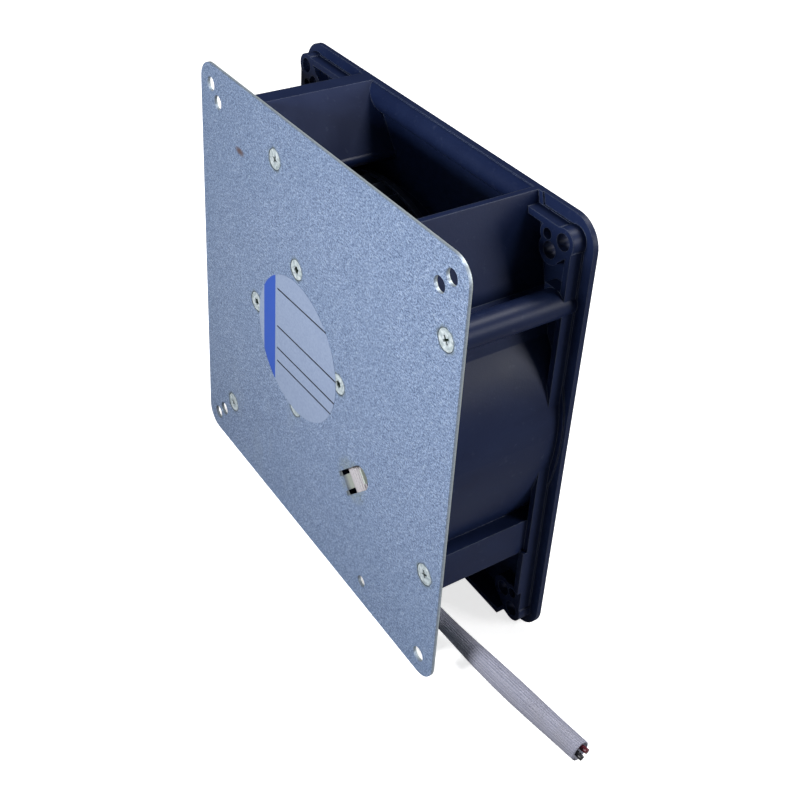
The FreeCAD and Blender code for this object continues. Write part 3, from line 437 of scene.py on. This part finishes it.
def smooth_line(points, steps):
    """Points along the NURBS curve of a route."""
    curve = bpy.data.curves.new("route", "CURVE")
    curve.dimensions = "3D"
    curve.resolution_u = steps
    spline = curve.splines.new("NURBS")
    spline.points.add(len(points) - 1)
    for point, place in zip(spline.points, points):
        point.co = (*place, 1)
    spline.order_u = 3
    spline.use_endpoint_u = True
    route = link(bpy.data.objects.new("route", curve))
    bpy.context.view_layer.update()
    shape = route.evaluated_get(bpy.context.evaluated_depsgraph_get())
    mesh = bpy.data.meshes.new_from_object(shape)
    line = [v.co.copy() for v in mesh.vertices]
    bpy.data.objects.remove(route)
    bpy.data.meshes.remove(mesh)
    return line


def spaced(line, step):
    """The same line in equal steps."""
    out, left = [line[0]], step
    for a, b in zip(line, line[1:]):
        run = (b - a).length
        while left <= run:
            out.append(a.lerp(b, left / run))
            left += step
        left -= run
    if (out[-1] - line[-1]).length > step / 4:
        out.append(line[-1])
    return out


def rings(line):
    """A frame at each point of the line: the point, and two axes across it."""
    across, out = None, []
    for index, point in enumerate(line):
        ahead = (line[min(index + 1, len(line) - 1)] - line[max(index - 1, 0)]).normalized()
        if across is None:
            across = ahead.cross(Vector((0, 1, 0))).normalized()
        across = (across - ahead * across.dot(ahead)).normalized()
        out.append((point, across, ahead.cross(across)))
    return out


def tube(name, line, radius, sides, relief=None, wall=0.0):
    """A tube along the line. relief(turn, run) is added to the radius, and wall makes it hollow."""
    bm = bmesh.new()
    uv = bm.loops.layers.uv.new("UVMap")
    frames = rings(line)
    runs = [0.0]
    for a, b in zip(line, line[1:]):
        runs.append(runs[-1] + (b - a).length)
    loops = []
    for (point, across, up), run in zip(frames, runs):
        loop = []
        for k in range(sides):
            turn = 2 * math.pi * k / sides
            wide = radius + (relief(turn, run) if relief else 0)
            loop.append(bm.verts.new(point + across * wide * math.cos(turn) + up * wide * math.sin(turn)))
        loops.append(loop)
    for row, (first, second) in enumerate(zip(loops, loops[1:])):
        for k in range(sides):
            after = (k + 1) % sides
            face = bm.faces.new((first[k], first[after], second[after], second[k]))
            spots = ((k, row), (k + 1, row), (k + 1, row + 1), (k, row + 1))
            for corner, (u, v) in zip(face.loops, spots):
                corner[uv].uv = (u / sides, runs[v])
    bm.faces.new(loops[0])
    if wall:
        hollow_end(bm, frames, loops[-1], radius - wall, sides)
    else:
        bm.faces.new(loops[-1])
    bmesh.ops.recalc_face_normals(bm, faces=bm.faces)
    return mesh_object(name, bm)


def hollow_end(bm, frames, rim, inner, sides, deep=14):
    """Turns the tube's end inwards, down to a floor some rings back."""
    last = rim
    for index in (-1, -1 - deep):
        point, across, up = frames[index]
        loop = []
        for k in range(sides):
            turn = 2 * math.pi * k / sides
            loop.append(bm.verts.new(point + (across * math.cos(turn) + up * math.sin(turn)) * inner))
        for k in range(sides):
            after = (k + 1) % sides
            bm.faces.new((last[k], last[after], loop[after], loop[k]))
        last = loop
    bm.faces.new(last)


def cable():
    line = smooth_line([at(*p) for p in CABLE], 40)
    line = spaced(line, SLEEVE_STEP * MM)

    def braid(turn, run):
        """Lengthwise ribs under crossing strands, with the slack of a loose sleeve."""
        slack = BULGE * math.exp(-((run - BULGE_AT) / BULGE_LONG) ** 2)
        slack -= WAIST * math.exp(-((run - WAIST_AT) / WAIST_LONG) ** 2)
        ribs = 0.02 * math.cos(SLEEVE_RIBS * turn)
        cross = 0.02 * max(math.sin(17 * turn + run * 5600), math.sin(17 * turn - run * 5600))
        return (slack + ribs + cross - 0.1) * MM

    sleeve = tube("sleeve", line, SLEEVE_RADIUS * MM, SLEEVE_SIDES, braid, wall=SLEEVE_WALL * MM)
    dress(sleeve, "sleeve", "root", "cable_sleeve")
    ends = [lead(name, line, side) for name, side in (("lead_red", 1), ("lead_black", -1))]


def lead(name, line, side):
    """One insulated lead where it comes out of the sleeve, spread a little and cut square."""
    last, ahead = line[-1], (line[-1] - line[-2]).normalized()
    off = ahead.cross(Vector((0, 0, 1))).normalized() * -LEAD_ASIDE * side * MM
    off += Vector((0, 0, LEAD_RISE * side * MM))
    start, end = last - ahead * LEAD_INSIDE * MM, last + ahead * LEAD_SHOW * MM
    outside = smooth_line([start + off * 0.7, last + off, end + off * 1.1], 12)
    stub = tube(f"{name}_end", outside, LEAD_RADIUS * MM, 24)
    return dress(stub, name.replace("lead_", "") + "_lead", "root", name)


cable()


# Screws

def lathe(name, profile, steps):
    """A solid turned about Y, from (radius, depth) corners in millimetres, its ends on the axis."""
    bm = bmesh.new()
    turns = [2 * math.pi * k / steps for k in range(steps)]
    loops = []
    for radius, depth in profile[1:-1]:
        r, y = radius * MM, depth * MM
        loops.append([bm.verts.new((r * math.cos(a), y, r * math.sin(a))) for a in turns])
    tips = [bm.verts.new((0, profile[end][1] * MM, 0)) for end in (0, -1)]
    for first, second in zip(loops, loops[1:]):
        for k in range(steps):
            after = (k + 1) % steps
            bm.faces.new((first[k], first[after], second[after], second[k]))
    for tip, loop in zip(tips, (loops[0], loops[-1])):
        for k in range(steps):
            bm.faces.new((tip, loop[k], loop[(k + 1) % steps]))
    bmesh.ops.recalc_face_normals(bm, faces=bm.faces)
    return mesh_object(name, bm)


def prism(name, outline, top, bottom, shrink):
    """A tapered cutter from an outline in the XZ plane, in millimetres."""
    bm = bmesh.new()
    mouth = [bm.verts.new((x * MM, top * MM, z * MM)) for x, z in outline]
    floor = [bm.verts.new((x * shrink * MM, bottom * MM, z * shrink * MM)) for x, z in outline]
    bm.faces.new(mouth)
    bm.faces.new(floor)
    for k in range(len(outline)):
        after = (k + 1) % len(outline)
        bm.faces.new((mouth[k], mouth[after], floor[after], floor[k]))
    bmesh.ops.recalc_face_normals(bm, faces=bm.faces)
    return mesh_object(name, bm)


def cross(arm, half):
    """Outline of a cross recess."""
    quarter = [(half, arm), (half, half), (arm, half)]
    out = []
    for k in range(4):
        c, s = round(math.cos(k * math.pi / 2)), round(math.sin(k * math.pi / 2))
        out += [(x * c + z * s, z * c - x * s) for x, z in quarter]
    return out


def lobes(radius, dip, steps=72):
    """Outline of a six-lobed recess."""
    out = []
    for k in range(steps):
        turn = 2 * math.pi * k / steps
        wide = radius + dip * (math.cos(6 * turn) - 1)
        out.append((wide * math.cos(turn), wide * math.sin(turn)))
    return out


def recessed(blank, cutter):
    """Cuts the driver's recess into the head."""
    change = blank.modifiers.new("recess", "BOOLEAN")
    change.operation = "DIFFERENCE"
    change.solver = "EXACT"
    change.object = cutter
    bpy.context.view_layer.update()
    shape = blank.evaluated_get(bpy.context.evaluated_depsgraph_get())
    mesh = bpy.data.meshes.new_from_object(shape)
    blank.modifiers.clear()
    blank.data = mesh
    bpy.data.objects.remove(cutter)
    mesh.shade_flat()
    return blank


def screws(name, places, long, cutter, turns):
    """Countersunk screws with a softened rim and a blunt tip, each turned as it was left."""
    cone, rim, tip = HEAD_RADIUS - SHANK_RADIUS, 0.12, 0.8
    profile = [
        (0, 0.02), (HEAD_RADIUS - 2 * rim, 0.0), (HEAD_RADIUS - rim / 2, 0.05),
        (HEAD_RADIUS - 0.01, rim), (SHANK_RADIUS, cone), (SHANK_RADIUS, long - tip),
        (SHANK_RADIUS / 2, long), (0, long),
    ]
    blank = recessed(lathe(f"{name}_one", profile, 64), cutter)
    mesh = blank.data
    bpy.data.objects.remove(blank)
    for index, ((x, z), turn) in enumerate(zip(places, turns)):
        screw = link(bpy.data.objects.new(f"{name}_{index}", mesh.copy()))
        turned = Matrix.Rotation(math.radians(turn), 4, "Y")
        screw.data.transform(Matrix.Translation(at(x, 0, z)) @ turned)
        dress(screw, "zinc_screw", "root", *([name] if index == 0 else []))


screws("housing_screws", HOUSING_SCREWS, HOUSING_SCREW_LONG,
       prism("cross_cutter", cross(1.5, 0.36), -0.5, 1.5, 0.55), (20, 55, 10, 70))
screws("motor_screws", MOTOR_SCREWS, MOTOR_SCREW_LONG,
       prism("lobe_cutter", lobes(1.3, 0.17), -0.5, 1.3, 0.96), (12, 40, 0, 25))


# Floor, background and light

def floor():
    """White to the camera, with the object's shadow on it, and darker as a source of light."""
    bm = bmesh.new()
    bmesh.ops.create_grid(bm, x_segments=2, y_segments=2, size=3)
    ground = mesh_object("floor", bm)
    material = bpy.data.materials.new("floor")
    material.use_nodes = True
    nodes, links = material.node_tree.nodes, material.node_tree.links
    shader = nodes["Principled BSDF"]
    shader.inputs["Roughness"].default_value = 0.9
    shader.inputs["Specular IOR Level"].default_value = 0.0
    shader.inputs["Emission Color"].default_value = (1, 1, 1, 1)
    rays = nodes.new("ShaderNodeLightPath")
    for socket, unseen, seen in (("Base Color", 0.35, 0.9), ("Emission Strength", 0.0, 0.75)):
        level = nodes.new("ShaderNodeMapRange")
        links.new(rays.outputs["Is Camera Ray"], level.inputs["Value"])
        level.inputs["To Min"].default_value = unseen
        level.inputs["To Max"].default_value = seen
        links.new(level.outputs["Result"], shader.inputs[socket])
    ground.data.materials.append(material)


def world():
    """White to the camera, dim as a reflection and dimmer still as light."""
    surround = bpy.data.worlds.new("surround")
    bpy.context.scene.world = surround
    surround.use_nodes = True
    nodes, links = surround.node_tree.nodes, surround.node_tree.links
    sky = nodes["Background"]
    sky.inputs["Color"].default_value = (1, 1, 1, 1)
    rays = nodes.new("ShaderNodeLightPath")
    lit, seen = nodes.new("ShaderNodeMix"), nodes.new("ShaderNodeMix")
    lit.inputs[2].default_value, lit.inputs[3].default_value = 0.05, 0.1
    seen.inputs[3].default_value = 1.0
    links.new(rays.outputs["Is Glossy Ray"], lit.inputs[0])
    links.new(rays.outputs["Is Camera Ray"], seen.inputs[0])
    links.new(lit.outputs[0], seen.inputs[2])
    links.new(seen.outputs[0], sky.inputs["Strength"])


def lamp(name, position, side, power):
    """A square lamp that faces the middle of the blower."""
    data = bpy.data.lights.new(name, "AREA")
    data.shape = "RECTANGLE"
    data.size = data.size_y = side
    data.energy = power
    obj = link(bpy.data.objects.new(name, data))
    towards = Vector((0, 0, PLATE_MIDDLE)) - position
    turn = towards.to_track_quat("-Z", "Y").to_matrix().to_4x4()
    obj.matrix_world = Matrix.Translation(position) @ turn


floor()
world()
lamp("front", Vector((0.045, -0.3, 0.19)), 0.08, 1.4)
lamp("top", Vector((0.12, 0.5, 0.9)), 0.35, 7.8)
lamp("side", Vector((0.62, 0.47, 0.3)), 0.3, 3.8)

bpy.context.scene.view_settings.view_transform = "Standard"
